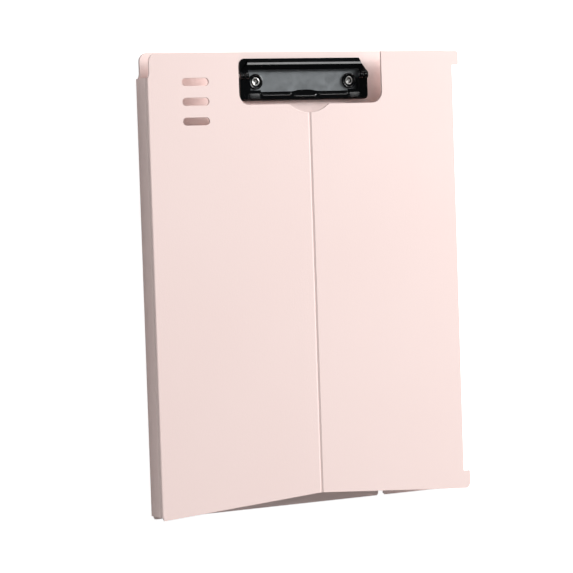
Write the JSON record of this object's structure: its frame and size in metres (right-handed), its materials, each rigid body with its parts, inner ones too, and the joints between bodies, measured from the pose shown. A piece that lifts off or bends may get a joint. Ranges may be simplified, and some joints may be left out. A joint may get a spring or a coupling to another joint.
{
  "type": "storage clipboard folder",
  "caption": "A4 storage clipboard folder: a flat back panel with a lever clip, a spine and a fold-over cover notched round the clip, joined by pressed creases.",
  "frame": {"origin": "centre of the box at the back panel's outer face, which lies on the table", "axes": "+Z out of the front cover, +Y towards the clip end, +X from the spine to the opening edge"},
  "size_m": [0.25, 0.315, 0.0155],
  "materials": {
    "sheet": "pale pink polypropylene, fine matte grain",
    "crease": "the same sheet, pressed thin and smooth",
    "clip_lacquer": "satin black lacquer on steel",
    "clip_plate": "dark grey plated steel",
    "pin_steel": "plain turned steel",
    "spring_wire": "drawn spring wire",
    "nickel": "bright nickel plating"
  },
  "bodies": {
    "back": {"back_panel": "sheet", "back_crease": "crease", "clip_base": "clip_plate", "pivot_pin_left": "pin_steel", "pivot_pin_right": "pin_steel", "spring_left": "spring_wire", "spring_right": "spring_wire", "cup_left": "clip_lacquer", "cup_right": "clip_lacquer", "eyelet_left": "nickel", "eyelet_right": "nickel", "washer_left": "nickel", "washer_right": "nickel"},
    "spine": {"spine_panel": "sheet", "front_crease": "crease"},
    "cover_inner": {"cover_inner_leaf": "sheet", "centre_crease": "crease"},
    "cover_outer": {"cover_outer_leaf": "sheet"},
    "lever": {"clip_lever": "clip_lacquer"}
  },
  "joints": [
    {"name": "spine_hinge", "type": "hinge", "parent": "back", "child": "spine", "pos_m": [-0.12425, 0, 0.00075], "axis": [0, -1, 0], "range_deg": [0, 180]},
    {"name": "cover_hinge", "type": "hinge", "parent": "spine", "child": "cover_inner", "pos_m": [-0.12425, 0, 0.01475], "axis": [0, -1, 0], "range_deg": [0, 180]},
    {"name": "cover_fold", "type": "hinge", "parent": "cover_inner", "child": "cover_outer", "pos_m": [0.001, 0, 0.0155], "axis": [0, -1, 0], "range_deg": [0, 178]},
    {"name": "clip_lever_pivot", "type": "hinge", "parent": "back", "child": "lever", "pos_m": [0.0032, 0.1409, 0.0048], "axis": [-1, 0, 0], "range_deg": [0, 16], "stiffness_Nm_per_rad": 0.25, "springref_deg": -40.11, "deforming": ["spring_left", "spring_right"]}
  ]
}
